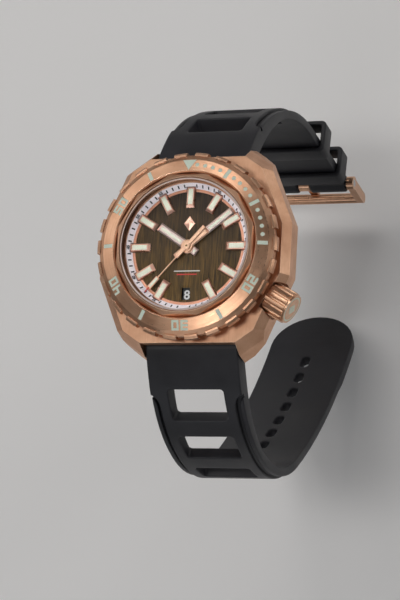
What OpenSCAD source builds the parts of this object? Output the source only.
// Automatic dive watch with a rotating bezel, screw crown, date and ventilated rubber strap.
// Dial up: +Z leaves the dial, +Y points to 12 o'clock, +X to 3 o'clock.
// The origin is the centre of the case back's flat outer face. Millimetres.

/* [Case] */
// Half of the case width across 3 and 9 o'clock
case_half = 22.2; // [21.8:0.1:22.8]
// Distance between the lugs, the strap size
lug_gap = 22.12; // [22:0.02:22.2]
// Height of the flat deck around the bezel
deck_z = 7.7; // [7.5:0.05:7.8]
// Height where the side bevel meets the vertical flank
bevel_z = 5.95; // [5.7:0.05:6.2]

/* [Bezel] */
// Height of the bezel's top where it is marked
bezel_z = 12.6; // [12.4:0.05:12.7]
// Number of grip teeth around the bezel
bezel_teeth = 26; // [20:1:30]
// Outer radius of the grip teeth
tooth_r = 20.85; // [20.6:0.05:21]

/* [Dial] */
// Height of the dial's face
dial_z = 9.8; // [9.75:0.01:9.85]
// Length of an hour marker
marker_l = 4.6; // [4:0.1:4.7]
// Width of an hour marker
marker_w = 1.9; // [1.7:0.05:2]

/* [Hands] */
// Hour shown by the hands at rest
show_hour = 10; // [0:1:11]
// Minute shown by the hands at rest
show_minute = 8; // [0:1:59]
// Second shown by the seconds hand at rest
show_second = 37; // [0:1:59]

/* [Crown] */
// Radius of the crown over its flutes
crown_r = 3.65; // [3.5:0.05:3.7]
// Number of flutes around the crown
flutes = 16; // [12:1:20]

/* [Strap] */
// Width of the strap outside the lugs
strap_w = 21.4; // [20.8:0.1:21.6]
// Thickness of the strap at the lugs
strap_t = 4.6; // [4.4:0.1:4.7]
// Thickness of the strap near its ends
strap_t_end = 2.7; // [2.5:0.1:3]
// Width of the ventilation windows
window_w = 13; // [11:0.5:14]

/* [Hidden] */
$fn = 64;
eps = 0.01;
big = 60;

bronze = "#b87f5c";
gold = "#d9a184";
mint = "#cfe6d8";
steel = "#b9bcc0";
brass = "#c9a860";
rubber = "#26262b";

// Case outline
lug_x = 15.77;
lug_y = 20.99;
shoulder_y = 5.85;
tip_y = 24.2;
wall_y = 20.8;
flank_az = atan2(case_half - lug_x, lug_y - shoulder_y);
lug_az = 90 - atan2(tip_y - lug_y, lug_x - lug_gap / 2);
knee_z = 4;
knee_y = 23.05;
belly_z = 1.2;
lug_z = 0.2;
flank_z = 1.9;
bar_y = 21;
bar_z = 2.4;
bar_r = 0.9;
cavity_r = 15;
back_r = 15.7;
glass_r = 14.75;
boss_r = 16.15;
boss_z = deck_z + 5.15;
seat_z = 11.4;
crown_az = -30;
crown_z = 5;
pocket_u = 20.5;
ledge_r = 14.1;
ledge_z = 11.1;
marker_out = 13.35;

// Movement levels and train layout
plate_r = 13.3;
third_at = [5.04, 180];
escape_at = [5.005, -85];
balance_at = [8.9, -85];
barrel_at = [6.3, 30];
pallet_at = [7.377, -71.85];
minute_at = [3.6, 100];
crown_wheel_at = [7.5, crown_az];
crown_wheel_teeth = 32;
ratchet_teeth = 30;
wind_gap = norm(spot(crown_wheel_at) - spot(barrel_at));
wind_m = 2 * wind_gap / (crown_wheel_teeth + ratchet_teeth);

// Strap paths: a start slope, then [length, turn] stretches
upper_turns = [[8, 9], [42, 57], [30, 0]];
lower_turns = [[8, 8], [48, 92], [54, 22]];
upper_slope = 34;
lower_slope = 20;
upper_len = 80;
lower_len = 110;
path_step = 2;
upper_windows = [[9, 7.4], [20.8, 7.4], [33, 6.6]];
lower_windows = [[8.7, 7.4], [20.6, 7.4], [33, 6.8]];

// Helpers

function spot(p) = [p[0] * cos(p[1]), p[0] * sin(p[1])];

// Angle of a tooth centre on wheel b, so that it meshes with wheel a
function mesh_phase(a_phase, a_teeth, b_teeth, towards) =
    let(pitches = (towards - a_phase) * a_teeth / 360)
    towards + 180 - (0.5 - (pitches - floor(pitches))) * 360 / b_teeth;

module place(p) {
    translate([p[0] * cos(p[1]), p[0] * sin(p[1]), 0]) children();
}

module tube(r_out, r_in, z0, z1) {
    difference() {
        translate([0, 0, z0]) cylinder(r = r_out, h = z1 - z0);
        translate([0, 0, z0 - 1]) cylinder(r = r_in, h = z1 - z0 + 2);
    }
}

module disc(r, z0, z1) {
    translate([0, 0, z0]) cylinder(r = r, h = z1 - z0);
}

module around(count, start = 0) {
    for (i = [0 : count - 1]) rotate(start + i * 360 / count) children();
}

// Block on the far side of a plane through p, whose normal points to az and rises by tilt
module beyond(p, az, tilt) {
    translate(p) rotate([0, 0, az]) rotate([0, -tilt, 0])
        translate([0, -big / 2, -big / 2]) cube(big);
}

// Child shape turned so that its +Z runs outwards along the crown's axis
module on_crown_axis() {
    translate([0, 0, crown_z]) rotate([0, 0, crown_az]) rotate([0, 90, 0]) children();
}

module gear(teeth, m, z0, z1, bore, phase = 0, rise = 0.85) {
    root = (teeth / 2 - 1.15) * m;
    tip = (teeth / 2 + rise) * m;
    pitch = 360 / teeth;
    translate([0, 0, z0]) rotate(phase) linear_extrude(z1 - z0) difference() {
        polygon([for (i = [0 : teeth - 1]) each [
            [root * cos((i - 0.30) * pitch), root * sin((i - 0.30) * pitch)],
            [tip * cos((i - 0.13) * pitch), tip * sin((i - 0.13) * pitch)],
            [tip * cos((i + 0.13) * pitch), tip * sin((i + 0.13) * pitch)],
            [root * cos((i + 0.30) * pitch), root * sin((i + 0.30) * pitch)]
        ]]);
        circle(bore);
    }
}

// Train wheel: a toothed rim on spokes
module spoked_wheel(teeth, m, z0, z1, hub, bore, phase = 0, spokes = 4) {
    inner = (teeth / 2 - 3.5) * m;
    gear(teeth, m, z0, z1, inner, phase);
    tube(hub, bore, z0, z1);
    around(spokes) translate([bore + 0.05, -0.16, z0])
        cube([inner - bore, 0.32, z1 - z0]);
}

// Case

module case_outline() {
    polygon([
        [case_half, shoulder_y], [lug_x, lug_y], [lug_gap / 2, tip_y],
        [-lug_gap / 2, tip_y], [-lug_x, lug_y], [-case_half, shoulder_y],
        [-case_half, -shoulder_y], [-lug_x, -lug_y], [-lug_gap / 2, -tip_y],
        [lug_gap / 2, -tip_y], [lug_x, -lug_y], [case_half, -shoulder_y]
    ]);
}

module case_side_profile() {
    polygon([
        [-25, lug_z], [-21, lug_z], [-17.2, belly_z], [17.2, belly_z], [21, lug_z], [25, lug_z],
        [25, deck_z], [-25, deck_z]
    ]);
}

module lug_facets() {
    beyond([lug_gap / 2, wall_y, deck_z], lug_az, 26.6);
    beyond([lug_gap / 2, knee_y, knee_z], lug_az, 11);
}

module flank_bevels() {
    beyond([case_half, 0, bevel_z], 0, 45);
    beyond([case_half, shoulder_y, bevel_z], flank_az, 45);
    beyond([case_half, 0, flank_z], 0, -45);
    beyond([case_half, shoulder_y, flank_z], flank_az, -45);
}

module four_ways() {
    for (sx = [0, 1], sy = [0, 1]) mirror([sx, 0, 0]) mirror([0, sy, 0]) children();
}

module case_body() {
    difference() {
        intersection() {
            linear_extrude(deck_z) case_outline();
            rotate([90, 0, 90]) translate([0, 0, -big / 2])
                linear_extrude(big) case_side_profile();
        }
        four_ways() flank_bevels();
        four_ways() lug_facets();
        case_strap_gaps();
    }
}

// The wall around the crystal slopes outwards and has twelve flats on its edge
module glass_wall() {
    difference() {
        disc(boss_r, deck_z - 0.5, boss_z + 0.63);
        around(12) beyond([boss_r * cos(15), 0, boss_z + 0.15], 0, 30);
        rotate_extrude() polygon([
            [cavity_r, boss_z + 0.63], [boss_r + 0.5, boss_z - 0.2],
            [boss_r + 0.5, boss_z + 2], [cavity_r, boss_z + 2]
        ]);
    }
}

module case_middle() {
    color(bronze) difference() {
        union() {
            case_body();
            glass_wall();
        }
        disc(back_r + 0.05, -1, 3);
        disc(cavity_r, 2, dial_z + 0.05);
        disc(14.6, dial_z, ledge_z);
        disc(ledge_r, ledge_z - 0.1, seat_z + 0.1);
        disc(15.05, seat_z, boss_z + 2);
        tube(boss_r + 1, boss_r - 0.42, 9.6, 10.2);
        on_crown_axis() translate([0, 0, pocket_u]) cylinder(r = 4.15, h = 10);
        on_crown_axis() translate([0, 0, 10]) cylinder(r = 2.22, h = 14);
        for (s = [-1, 1]) translate([-13.2, s * bar_y, bar_z])
            rotate([0, 90, 0]) cylinder(r = 0.6, h = 26.4);
    }
}

module case_strap_gaps() {
    for (s = [-1, 1]) {
        translate([-lug_gap / 2, s > 0 ? wall_y : -wall_y - 6, -1]) cube([lug_gap, 6, deck_z + 2]);
        translate([-lug_gap / 2, s * bar_y, bar_z]) rotate([0, 90, 0])
            cylinder(r = 2.75, h = lug_gap);
        translate([-lug_gap / 2, s > 0 ? bar_y - 2.75 : -bar_y - 3.25, -1])
            cube([lug_gap, 6, bar_z + 1]);
    }
}

module case_back() {
    color(steel) difference() {
        union() {
            disc(16.9, 0, belly_z);
            disc(back_r, belly_z - eps, 2.7);
        }
        disc(14.3, 1.45, 4);
        tube(16.42, 15.88, 0.93, 2);
        around(6, 15) translate([15.9, -1.1, -1]) cube([3, 2.2, 1.85]);
    }
}

module case_back_gasket() {
    color(rubber) tube(16.4, 15.9, 0.94, belly_z);
}

module crystal() {
    top = boss_z + 1.2;
    color("#dfe8ee", 0.35) rotate_extrude() polygon([
        [0, seat_z], [glass_r, seat_z], [glass_r, top - 0.78], [glass_r - 0.3, top - 0.48],
        each [for (r = [14 : -2 : 0]) [r, top - r * r / 418]]
    ]);
}

module crystal_gasket() {
    color("#e9e6de") tube(15.03, glass_r + 0.02, seat_z, 13.1);
}

module bezel_gasket() {
    color(rubber) tube(boss_r - 0.02, boss_r - 0.4, 9.62, 10.18);
}

// Flat wire ring under the bezel, with three raised clicks
module bezel_click_spring() {
    color(steel) {
        tube(18.7, 17.1, deck_z, deck_z + 0.22);
        around(3, 30) translate([17.4, -0.8, deck_z + 0.2]) cube([1, 1.6, 0.3]);
    }
}

module crown_tube() {
    color(steel) on_crown_axis() difference() {
        translate([0, 0, 15.1]) cylinder(r = 2.2, h = 8.6);
        cylinder(r = 1.3, h = 30);
    }
}

module movement_ring() {
    color("#3b3d42") difference() {
        tube(cavity_r - 0.1, plate_r + 0.1, 4.4, dial_z - 0.4);
        on_crown_axis() cylinder(r = 0.8, h = 20);
        on_crown_axis() translate([0, 0, 14.85]) cylinder(r = 2.4, h = 5);
        around(3, 60) translate([plate_r - 1, -1.1, 4]) cube([3, 2.2, 1.2]);
    }
}

module casing_clamps() {
    color(steel) around(3, 60) {
        translate([plate_r - 1.4, -1, 4.55]) cube([2.8, 2, 0.35]);
        translate([plate_r - 0.75, 0, 3.9]) cylinder(r = 0.55, h = 0.66);
    }
}

// Dial side

module marker_angles() {
    for (h = [0 : 11]) if (h != 6) rotate(-30 * h) children();
}

module marker_box(w, r0, r1, z0, z1) {
    translate([-w / 2, r0, z0]) cube([w, r1 - r0, z1 - z0]);
}

// Gap that a marker needs in the rings around the dial
module marker_notches() {
    marker_angles() marker_box(marker_w + 0.3, 12, marker_out + 0.1, dial_z - 1, dial_z + 3);
}

module chapter_ring() {
    color("#e6e1ec") difference() {
        rotate_extrude() polygon([
            [12.95, dial_z + 0.02], [14.55, dial_z + 0.02], [14.55, ledge_z - 0.03],
            [ledge_r - 0.05, ledge_z - 0.03], [12.95, dial_z + 0.25]
        ]);
        marker_notches();
    }
}

module dial_step_ring() {
    color(gold) difference() {
        tube(12.93, 12.35, dial_z, dial_z + 0.18);
        marker_notches();
    }
}

module dial() {
    color("#4b3a22") difference() {
        disc(14.5, dial_z - 0.4, dial_z);
        disc(1.15, 0, 20);
        translate([-1, -11.75, 0]) cube([2, 2.7, 20]);
    }
}

module hour_markers() {
    inner = marker_out - marker_l;
    color(gold) marker_angles() difference() {
        marker_box(marker_w, inner, marker_out, dial_z, dial_z + 0.6);
        marker_box(marker_w - 0.7, inner + 0.35, marker_out - 0.35, dial_z + 0.35, dial_z + 1);
    }
}

module marker_lume() {
    inner = marker_out - marker_l;
    color(mint) marker_angles()
        marker_box(marker_w - 0.74, inner + 0.37, marker_out - 0.37, dial_z + 0.35, dial_z + 0.58);
}

// Movement frame

module arbor_holes() {
    disc(1, 0, 20);
    for (p = [third_at, escape_at, balance_at, pallet_at]) place(p) disc(0.5, 0, 20);
    place(barrel_at) disc(0.95, 0, 20);
    place(minute_at) disc(0.3, 0, 20);
}

module main_plate() {
    color(steel) difference() {
        union() {
            disc(plate_r, 6.9, 8.6);
            tube(plate_r, 12.45, 8.5, 9.3);
            tube(plate_r, 12, 4.4, 7);
        }
        disc(8, 8.2, 20);
        arbor_holes();
        on_crown_axis() cylinder(r = 0.55, h = 20);
        around(3, 60) translate([plate_r - 1.5, -1.1, 4]) cube([3, 2.2, 1]);
    }
}

module train_bridge() {
    color("#a9abb0") difference() {
        disc(13.2, 3.85, 4.4);
        place(balance_at) disc(4.3, 0, 20);
        arbor_holes();
        rotate(crown_az) translate([8.2, -2, 0]) cube([3.7, 4, 20]);
        place(crown_wheel_at) disc(0.32, 0, 20);
        around(3, 60) translate([plate_r - 1.6, -1.2, 3]) cube([3, 2.4, 3]);
        screw_spots() disc(0.4, 0, 20);
        rotate(balance_at[1]) translate([6, -1.8, 0]) cube([8, 3.6, 20]);
    }
}

module balance_cock() {
    color("#a9abb0") difference() {
        union() {
            place(balance_at) disc(1.4, 3.85, 4.3);
            rotate(balance_at[1]) translate([balance_at[0], -1.2, 3.85]) cube([3.9, 2.4, 0.45]);
            rotate(balance_at[1]) translate([12.05, -1.2, 4.1]) cube([0.7, 2.4, 0.3]);
        }
        place(balance_at) disc(0.5, 0, 20);
        rotate(balance_at[1]) translate([12.5, 0, 0]) cylinder(r = 0.4, h = 20);
    }
}

// Carries the pallet fork's outer pivot, between the fork and the balance
module pallet_bridge() {
    color("#a9abb0") difference() {
        union() {
            place(pallet_at) disc(0.7, 5.12, 5.38);
            place(pallet_at) rotate(38) translate([0, -0.5, 5.12]) cube([5.4, 1, 0.26]);
        }
        place(pallet_at) disc(0.16, 0, 20);
    }
}

module screw_spots() {
    for (a = [20, 90, 150, 210]) rotate(a) translate([12.5, 0, 0]) children();
}

module bridge_screw() {
    difference() {
        union() {
            disc(0.38, 3.84, 4.39);
            disc(0.62, 3.5, 3.85);
        }
        translate([-1, -0.08, 3.4]) cube([2, 0.16, 0.2]);
    }
}

module bridge_screws() {
    color("#8b93a6") {
        screw_spots() bridge_screw();
        rotate(balance_at[1]) translate([12.5, 0, 0]) bridge_screw();
    }
}

module jewels() {
    color("#c2304f") {
        for (p = [third_at, escape_at]) place(p) {
            tube(0.48, 0.16, 3.9, 4.25);
            tube(0.48, 0.16, 7.1, 7.5);
        }
        place(pallet_at) tube(0.48, 0.16, 7.1, 7.5);
        place(balance_at) tube(0.48, 0.12, 3.9, 4.25);
        place(balance_at) tube(0.48, 0.12, 7.1, 7.5);
        tube(0.98, 0.24, 3.9, 4.3);
        tube(0.98, 0.64, 7.1, 8.1);
    }
}

module calendar_plate() {
    color(steel) {
        difference() {
            disc(8.85, 9.02, 9.2);
            disc(3.2, 0, 20);
            place(minute_at) disc(1.05, 0, 20);
        }
        around(3, 45) translate([7.2, 0, 8.2]) cylinder(r = 0.5, h = 0.83);
    }
}

// Automatic winding

module rotor_bearing() {
    color(steel) tube(1.5, 0.56, 3.25, 3.85);
}

module rotor_plate() {
    color("#b4b6ba") difference() {
        union() {
            translate([0, 0, 2.5]) linear_extrude(0.35) polygon([
                [0, 0], each [for (a = [-170 : 10 : -10]) [11.25 * cos(a), 11.25 * sin(a)]]
            ]);
            disc(2.2, 2.5, 2.85);
            disc(0.5, 2.8, 3.8);
        }
        for (a = [-130, -50]) rotate(a) translate([6.4, 0, 0]) cylinder(r = 1.6, h = 3);
    }
}

module rotor_weight() {
    color("#8e9095") rotate([0, 0, -180]) rotate_extrude(angle = 180)
        polygon([[10.4, 2.85], [11.3, 2.85], [11.3, 2.2], [13.2, 2.2], [13.2, 3.3], [10.4, 3.3]]);
}

// Going train

module barrel() {
    color(brass) place(barrel_at) {
        difference() {
            disc(5.1, 4.95, 6.2);
            disc(4.8, 5.1, 6.05);
            disc(0.62, 0, 20);
        }
        gear(72, 0.15, 5.85, 6.1, 5.08, barrel_phase());
    }
}

function barrel_phase() = mesh_phase(0, 12, 72, barrel_at[1]);

// Archimedean coil between the arbor and the barrel wall
module mainspring() {
    inner = 1.6;
    turns = 7;
    pitch = 0.42;
    thick = 0.12;
    function coil(t, r) = [(r + pitch * t / 360) * cos(t), (r + pitch * t / 360) * sin(t)];
    color("#7f8790") place(barrel_at) translate([0, 0, 5.15]) linear_extrude(0.85) polygon([
        each [for (t = [0 : 15 : 360 * turns]) coil(t, inner)],
        each [for (t = [360 * turns : -15 : 0]) coil(t, inner + thick)]
    ]);
}

module centre_wheel() {
    color(brass) {
        spoked_wheel(64, 0.14, 6.45, 6.65, 1, 0.26);
        gear(12, 0.15, 5.7, 6.25, 0.26);
        tube(0.6, 0.26, 6.24, 10.78);
        gear(12, 0.15, 8.35, 8.65, 0.26);
        tube(0.7, 0.26, 6.2, 6.46);
    }
}

module third_wheel() {
    phase = mesh_phase(0, 64, 8, third_at[1]);
    color(brass) place(third_at) {
        gear(8, 0.14, 6.3, 6.75, 0.1, phase);
        spoked_wheel(60, 5.04 / 34, 5, 5.2, 0.6, 0.1, 0);
        disc(0.18, 5, 6.5);
        disc(0.14, 3.95, 7.4);
    }
}

module fourth_wheel() {
    phase = mesh_phase(0, 60, 8, 0);
    color(brass) {
        gear(8, 5.04 / 34, 4.95, 5.35, 0.1, phase);
        spoked_wheel(84, 0.11, 4.5, 4.7, 0.7, 0.1, 0);
        disc(0.4, 4.5, 5);
        disc(0.21, 3.95, 11);
    }
}

module escape_wheel() {
    phase = mesh_phase(0, 84, 7, escape_at[1]);
    color("#c7c9cd") place(escape_at) {
        gear(7, 0.11, 4.45, 4.75, 0.08, phase);
        disc(0.14, 3.95, 7.4);
        translate([0, 0, 5.5]) linear_extrude(0.2) difference() {
            polygon([for (i = [0 : 14]) each [
                [1.72 * cos(i * 24), 1.72 * sin(i * 24)],
                [2.2 * cos(i * 24 + 9), 2.2 * sin(i * 24 + 9)],
                [2.16 * cos(i * 24 + 11), 2.16 * sin(i * 24 + 11)],
                [1.72 * cos(i * 24 + 13), 1.72 * sin(i * 24 + 13)]
            ]]);
            circle(1.45);
        }
        disc(0.5, 5.5, 5.7);
        around(5) translate([0.2, -0.1, 5.52]) cube([1.35, 0.2, 0.16]);
    }
}

// Lever with two stones that stand just clear of the escape wheel's tip circle
module pallet_fork() {
    to_escape = spot(escape_at) - spot(pallet_at);
    to_balance = spot(balance_at) - spot(pallet_at);
    escape_dir = atan2(to_escape[1], to_escape[0]);
    balance_dir = atan2(to_balance[1], to_balance[0]);
    color(steel) place(pallet_at) {
        disc(0.14, 5.15, 7.4);
        disc(0.4, 5.5, 5.72);
        for (s = [-1, 1]) rotate(escape_dir + s * 64)
            translate([0.2, -0.1, 5.5]) cube([1.75, 0.2, 0.22]);
        rotate(balance_dir) difference() {
            translate([0.2, -0.13, 5.5]) cube([1.45, 0.26, 0.22]);
            translate([1.5, -0.06, 5]) cube([1, 0.12, 1]);
        }
    }
    color("#c2304f") place(pallet_at) for (s = [-1, 1])
        rotate(escape_dir + s * 64) translate([1.7, -0.12, 5.72]) cube([0.25, 0.24, 0.12]);
}

module balance_wheel() {
    color(brass) place(balance_at) {
        tube(3, 2.6, 4.7, 4.98);
        for (a = [0, 90]) rotate(a) translate([-2.7, -0.16, 4.75]) cube([5.4, 0.32, 0.2]);
        around(4, 45) translate([2.8, 0, 4.65]) cylinder(r = 0.15, h = 0.38);
        disc(0.16, 4.3, 7);
        disc(0.1, 3.95, 7.4);
        disc(0.62, 5.85, 6);
        disc(0.3, 4.98, 5.2);
        translate([0.5, 0, 5.6]) cylinder(r = 0.07, h = 0.3);
    }
}

module hairspring() {
    turns = 9;
    pitch = 0.2;
    thick = 0.05;
    function coil(t, r) = [(r + pitch * t / 360) * cos(t), (r + pitch * t / 360) * sin(t)];
    color("#5b6fa8") place(balance_at) {
        translate([0, 0, 4.45]) linear_extrude(0.14) polygon([
            each [for (t = [0 : 20 : 360 * turns]) coil(t, 0.4)],
            each [for (t = [360 * turns : -20 : 0]) coil(t, 0.4 + thick)]
        ]);
        tube(0.44, 0.17, 4.42, 4.62);
    }
}

// Motion work and date

module minute_wheel() {
    wheel_phase = mesh_phase(0, 12, 36, minute_at[1]);
    color(brass) place(minute_at) {
        gear(36, 0.15, 8.35, 8.55, 0.1, wheel_phase);
        gear(12, 0.12, 8.5, 9.25, 0.1, 0);
        disc(0.25, 7.4, 8.6);
    }
}

module hour_wheel() {
    phase = mesh_phase(0, 12, 48, minute_at[1] + 180);
    color(brass) {
        gear(48, 0.12, 8.98, 9.22, 0.65, phase);
        tube(0.95, 0.65, 8.98, 10.32);
    }
}

module date_disc() {
    pitch = 360 / 31;
    color("#17171a") translate([0, 0, 8.7]) linear_extrude(0.22) difference() {
        circle(12.2, $fn = 96);
        polygon([for (i = [0 : 30]) each [
            [8.95 * cos((i - 0.2) * pitch), 8.95 * sin((i - 0.2) * pitch)],
            [8.5 * cos((i - 0.1) * pitch), 8.5 * sin((i - 0.1) * pitch)],
            [8.5 * cos((i + 0.1) * pitch), 8.5 * sin((i + 0.1) * pitch)],
            [8.95 * cos((i + 0.2) * pitch), 8.95 * sin((i + 0.2) * pitch)]
        ]]);
    }
}

// Hands

hour_turn = -30 * (show_hour + show_minute / 60);
minute_turn = -6 * (show_minute + show_second / 60);
second_turn = -6 * show_second;

// A hand's outline: a blunt arm, its tail, and a disc around the bore
module hand_outline(arm_w, arm_l, tail_w, tail_l, hub, bore) {
    difference() {
        union() {
            translate([-arm_w / 2, 0]) square([arm_w, arm_l]);
            translate([-tail_w / 2, -tail_l]) square([tail_w, tail_l + 0.1]);
            circle(hub);
            children();
        }
        circle(bore);
    }
}

module hour_hand() {
    color(gold) rotate(hour_turn) translate([0, 0, 10.05]) linear_extrude(0.24)
        hand_outline(2, 8.3, 1.7, 2.6, 1.55, 0.96);
}

module minute_hand() {
    color(gold) rotate(minute_turn) translate([0, 0, 10.5]) linear_extrude(0.22)
        hand_outline(1.7, 12.6, 1.1, 3.6, 1.3, 0.61);
}

module second_hand() {
    color(gold) rotate(second_turn) translate([0, 0, 10.86]) linear_extrude(0.14)
        hand_outline(0.28, 13.6, 0.94, 5.8, 0.85, 0.22) {
            translate([-0.47, 0]) square([0.94, 3.4]);
            translate([-0.5, 9.3]) square([1, 3]);
        }
}

// Bezel

module bezel_blank(drop = 0) {
    translate([0, 0, -drop]) rotate(-19.5) rotate_extrude() polygon([
        [boss_r + 0.08, deck_z + 0.15], [19.6, deck_z + 0.15], [19.6, 10], [20.2, 10],
        [20.2, bezel_z - 0.95], [19.1, bezel_z - 0.27], [16.55, bezel_z + 0.38],
        [boss_r + 0.08, bezel_z + 0.1]
    ]);
}

module bezel_grip() {
    tooth = 360 / bezel_teeth;
    around(bezel_teeth, 90 + tooth / 2) intersection() {
        rotate(-tooth * 0.3) rotate_extrude(angle = tooth * 0.6) polygon([
            [20, 10], [tooth_r - 0.2, 10], [tooth_r, 10.25], [tooth_r, 11.55], [tooth_r - 0.45, 12], [20, 12]
        ]);
        translate([19, -5, 0]) cube([5, 10, 20]);
    }
}

// A stroke of a bezel numeral: width along the ring, from one height to another
module stroke(x0, x1, y0, y1) {
    translate([x0, y0, 0]) cube([x1 - x0, y1 - y0, 20]);
}

module digit(n, w = 1.7, h = 2.2, t = 0.5) {
    if (n != 4) stroke(-w / 2, w / 2, h / 2 - t, h / 2);
    if (n != 4) stroke(-w / 2, w / 2, -h / 2, -h / 2 + t);
    if (n != 0) stroke(-w / 2, w / 2, -t / 2, t / 2);
    if (n != 5) stroke(w / 2 - t, w / 2, -t / 2, h / 2);
    if (n != 2) stroke(w / 2 - t, w / 2, -h / 2, t / 2);
    if (n != 2 && n != 3) stroke(-w / 2, -w / 2 + t, -t / 2, h / 2);
    if (n == 0 || n == 2) stroke(-w / 2, -w / 2 + t, -h / 2, t / 2);
}

module bezel_marks() {
    mark_r = 17.9;
    linear_extrude(20)
        polygon([[-1.6, mark_r + 1.15], [1.6, mark_r + 1.15], [0, mark_r - 1.25]]);
    for (m = [1 : 14]) if (m % 5 != 0)
        rotate(-6 * m) translate([0, mark_r, 0]) cylinder(r = 0.45, h = 20);
    for (m = [5, 10, 15, 25, 35, 45, 55])
        rotate(-6 * m) translate([-0.42, mark_r - 1.1, 0]) cube([0.84, 2.2, 20]);
    for (tens = [2 : 5]) rotate(-60 * tens) {
        translate([-1.05, mark_r, 0]) digit(tens);
        translate([1.05, mark_r, 0]) digit(0);
    }
}

module bezel() {
    color(bronze) difference() {
        union() {
            bezel_blank();
            bezel_grip();
        }
        tube(19, 16.9, deck_z, deck_z + 0.75);
        difference() {
            bezel_marks();
            bezel_blank(0.22);
            disc(30, 0, 11);
        }
    }
}

module bezel_lume() {
    color(mint) difference() {
        intersection() {
            bezel_marks();
            bezel_blank(0.03);
        }
        bezel_blank(0.21);
        disc(30, 0, 11);
    }
}

// Crown and keyless work, built along the crown's axis

module crown() {
    color(bronze) on_crown_axis() difference() {
        union() {
            translate([0, 0, 20.8]) cylinder(r = crown_r - 0.1, h = 5);
            translate([0, 0, 20.8]) cylinder(r = crown_r - 0.35, h = 5.5);
            translate([0, 0, 21.1]) cylinder(r = crown_r, h = 4.4);
        }
        translate([0, 0, 20]) cylinder(r = 2.28, h = 4.4);
        cylinder(r = 0.52, h = 25.2);
        around(flutes) translate([crown_r + 0.12, 0, 20]) cylinder(r = 0.42, h = 6);
        translate([0, 0, 26.1]) difference() {
            cylinder(r = 2.95, h = 1);
            translate([0, 0, -1]) cylinder(r = 2.5, h = 3);
        }
    }
}

module crown_lume() {
    color(mint) on_crown_axis() tube(2.93, 2.52, 26.11, 26.27);
}

module crown_gasket() {
    color(rubber) on_crown_axis() tube(1.27, 0.52, 19.4, 20);
}

module crown_spring() {
    color(steel) on_crown_axis() for (i = [0 : 2])
        translate([0, 0, 20.8 + i * 0.9]) tube(1.15, 0.75, 0, 0.3);
}

module winding_stem() {
    color(steel) on_crown_axis() {
        translate([-0.3, -0.3, 7.8]) cube([0.6, 0.6, 3]);
        translate([0, 0, 10.7]) cylinder(r = 0.5, h = 14.5);
    }
}

module clutch_wheel() {
    color(steel) on_crown_axis() difference() {
        union() {
            translate([0, 0, 8.7]) cylinder(r = 0.8, h = 1.3);
            gear(14, 0.14, 8.7, 9, 0.3);
            gear(14, 0.14, 9.75, 10, 0.3);
        }
        translate([-0.36, -0.36, 0]) cube([0.72, 0.72, 20]);
    }
}

module winding_pinion() {
    color(steel) on_crown_axis() difference() {
        union() {
            gear(16, 0.15, 10.9, 11.3, 0.3);
            translate([0, 0, 10.2]) cylinder(r = 0.9, h = 0.75);
        }
        cylinder(r = 0.55, h = 20);
    }
}

module crown_wheel() {
    color(steel) place(crown_wheel_at) {
        gear(crown_wheel_teeth, wind_m, 3.5, 3.65, 0.2);
        disc(0.28, 3.5, 4.38);
    }
}

module ratchet_wheel() {
    towards = atan2(spot(barrel_at)[1] - spot(crown_wheel_at)[1],
        spot(barrel_at)[0] - spot(crown_wheel_at)[0]);
    color(steel) place(barrel_at) {
        gear(ratchet_teeth, wind_m, 3.5, 3.65, 0.3,
            mesh_phase(0, crown_wheel_teeth, ratchet_teeth, towards));
        disc(0.55, 3.5, 7.4);
        disc(0.9, 3.65, 4.4);
    }
}

// Strap

// Turn of the path at distance s, summed over its stretches
function turned(turns, s, i = 0) =
    i >= len(turns) || s <= 0 ? 0 :
    turns[i][1] * min(s, turns[i][0]) / turns[i][0] + turned(turns, s - turns[i][0], i + 1);

// Points [y, z, slope below the horizontal, distance] along the middle of the strap
function path(slope, turns, length) = [
    for (s = 0, y = 0, z = 0; s <= length + eps;
        y = y + path_step * cos(slope + turned(turns, s + path_step / 2)),
        z = z - path_step * sin(slope + turned(turns, s + path_step / 2)),
        s = s + path_step)
    [y, z, slope + turned(turns, s), s]
];

function thickness(s) = s < 8 ? strap_t : max(strap_t_end, strap_t - (s - 8) * 0.1);

// Point on the strap's outer (side 1) or inner (side -1) face
function face(p, side) = [
    p[0] + side * sin(p[2]) * thickness(p[3]) / 2,
    p[1] + side * cos(p[2]) * thickness(p[3]) / 2
];

// Side view of a strap half, with a round end about the spring bar
module strap_side(slope, turns, length) {
    points = path(slope, turns, length);
    polygon([
        each [for (p = points) face(p, 1)],
        each [for (i = [len(points) - 1 : -1 : 0]) face(points[i], -1)],
        each [for (a = [165 : -15 : 15])
            [cos(90 - slope + a) * strap_t / 2, sin(90 - slope + a) * strap_t / 2]]
    ]);
}

// Children in the strap's local frame at distance s: +X across, +Y along, +Z outwards
module along(slope, turns, s) {
    p = path(slope, turns, ceil(s / path_step) * path_step);
    last = p[len(p) - 1];
    back = last[3] - s;
    translate([0, last[0] - back * cos(last[2]), last[1] + back * sin(last[2])])
        rotate([-last[2], 0, 0]) children();
}

// Children at the spring bar of the upper (side 1) or lower (side -1) strap
module at_bar(side) {
    translate([0, side * bar_y, bar_z]) mirror([0, side > 0 ? 0 : 1, 0]) children();
}

module strap_half(slope, turns, length, windows, width) {
    difference() {
        rotate([90, 0, 90]) translate([0, 0, -width / 2])
            linear_extrude(width) strap_side(slope, turns, length);
        rotate([0, 90, 0]) translate([0, 0, -15]) cylinder(r = bar_r + 0.06, h = 30);
        for (w = windows) along(slope, turns, w[0] + w[1] / 2)
            translate([-window_w / 2, -w[1] / 2, -4]) cube([window_w, w[1], 8]);
    }
}

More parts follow.
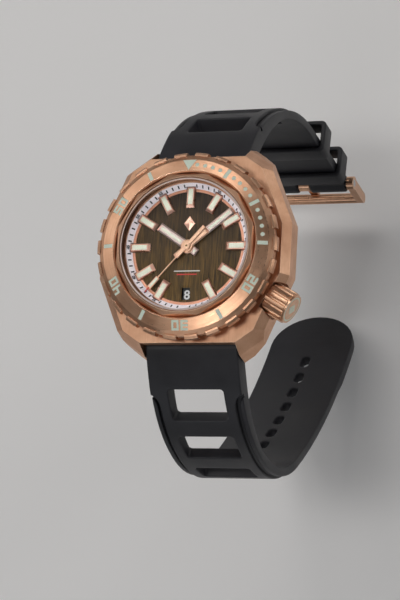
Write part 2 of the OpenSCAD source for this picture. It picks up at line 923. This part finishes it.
module strap_upper() {
    color(rubber) at_bar(1) difference() {
        union() {
            strap_half(upper_slope, upper_turns, upper_len, upper_windows, strap_w);
            along(upper_slope, upper_turns, upper_len) translate([-strap_w / 2 + 0.1, 0, 0])
                rotate([35, 0, 0]) rotate([0, 90, 0]) cylinder(r = 2.1, h = strap_w - 0.2);
        }
        along(upper_slope, upper_turns, upper_len) {
            translate([-15, 0, 0]) rotate([50, 0, 0]) rotate([0, 90, 0]) cylinder(r = 0.96, h = 30);
            translate([-1.7, -5, -4]) cube([3.4, 10, 8]);
        }
    }
}

module strap_lower() {
    color(rubber) at_bar(-1) difference() {
        union() {
            strap_half(lower_slope, lower_turns, lower_len, lower_windows, strap_w);
            along(lower_slope, lower_turns, lower_len) translate([0, 0, -strap_t_end / 2])
                intersection() {
                    cylinder(r = strap_w / 2, h = strap_t_end);
                    translate([-15, -0.5, -5]) cube([30, 15, 10]);
                }
        }
        for (i = [0 : 6]) along(lower_slope, lower_turns, 64 + i * 6.5)
            translate([0, 0, -4]) linear_extrude(8) {
                translate([0, -0.9]) circle(1.15);
                translate([0, 0.9]) circle(1.15);
                translate([-1.15, -0.9]) square([2.3, 1.8]);
            }
    }
}

module keeper(s, l) {
    w = strap_w / 2 + 0.15;
    up = strap_t_end / 2 + 0.12;
    color(rubber) at_bar(1) along(upper_slope, upper_turns, s) difference() {
        translate([-w - 1.2, -l / 2, -up - 1.1]) cube([2 * w + 2.4, l, 2 * up + strap_t_end + 2.6]);
        translate([-w, -l, -up]) cube([2 * w, 2 * l, 2 * up + strap_t_end + 0.4]);
    }
}

module fixed_keeper() {
    keeper(72.5, 5);
}

module sliding_keeper() {
    keeper(58, 5);
}

buckle_l = 9;
buckle_half = strap_w / 2 + 2.2;

module at_buckle() {
    at_bar(1) along(upper_slope, upper_turns, upper_len) children();
}

module buckle_frame() {
    color(bronze) at_buckle() difference() {
        union() {
            for (s = [-1, 1]) {
                translate([s * (buckle_half - 0.9) - 0.9, 0, -1.3]) cube([1.8, buckle_l, 2.6]);
                translate([s * (buckle_half - 0.9) - 0.9, 0, 0]) rotate([0, 90, 0]) cylinder(r = 1.7, h = 1.8);
            }
            translate([-buckle_half, buckle_l, 0]) rotate([0, 90, 0]) cylinder(r = 1.3, h = 2 * buckle_half);
        }
        translate([-20, 0, 0]) rotate([0, 90, 0]) cylinder(r = 0.93, h = 40);
        translate([-1.6, buckle_l - 1.6, 0.75]) cube([3.2, 4, 1]);
    }
}

module buckle_bar() {
    color(steel) at_buckle() translate([-buckle_half, 0, 0]) rotate([0, 90, 0])
        cylinder(r = 0.9, h = 2 * buckle_half);
}

module buckle_tongue() {
    color(bronze) at_buckle() difference() {
        union() {
            translate([-1.4, 0, 0]) rotate([0, 90, 0]) cylinder(r = 1.7, h = 2.8);
            translate([-1.05, 1, 0.8]) cube([2.1, buckle_l + 0.2, 0.9]);
        }
        translate([-5, 0, 0]) rotate([0, 90, 0]) cylinder(r = 0.96, h = 10);
    }
}

module spring_bars() {
    color(steel) for (s = [-1, 1]) translate([0, s * bar_y, bar_z]) rotate([0, 90, 0]) {
        translate([0, 0, -10.9]) cylinder(r = bar_r, h = 21.8);
        translate([0, 0, -12.9]) cylinder(r = 0.55, h = 25.8);
    }
}

case_middle();
case_back();
case_back_gasket();
crystal();
crystal_gasket();
bezel_gasket();
bezel_click_spring();
crown_tube();
movement_ring();
casing_clamps();
chapter_ring();
dial_step_ring();
dial();
hour_markers();
marker_lume();
main_plate();
train_bridge();
balance_cock();
pallet_bridge();
calendar_plate();
jewels();
bridge_screws();
spring_bars();
bezel();
bezel_lume();
clutch_wheel();
winding_pinion();
winding_stem();
crown();
crown_lume();
crown_gasket();
crown_spring();
crown_wheel();
ratchet_wheel();
hour_wheel();
hour_hand();
centre_wheel();
minute_hand();
fourth_wheel();
second_hand();
third_wheel();
escape_wheel();
minute_wheel();
barrel();
mainspring();
pallet_fork();
balance_wheel();
hairspring();
date_disc();
rotor_plate();
rotor_weight();
rotor_bearing();
strap_upper();
strap_lower();
fixed_keeper();
sliding_keeper();
buckle_frame();
buckle_bar();
buckle_tongue();
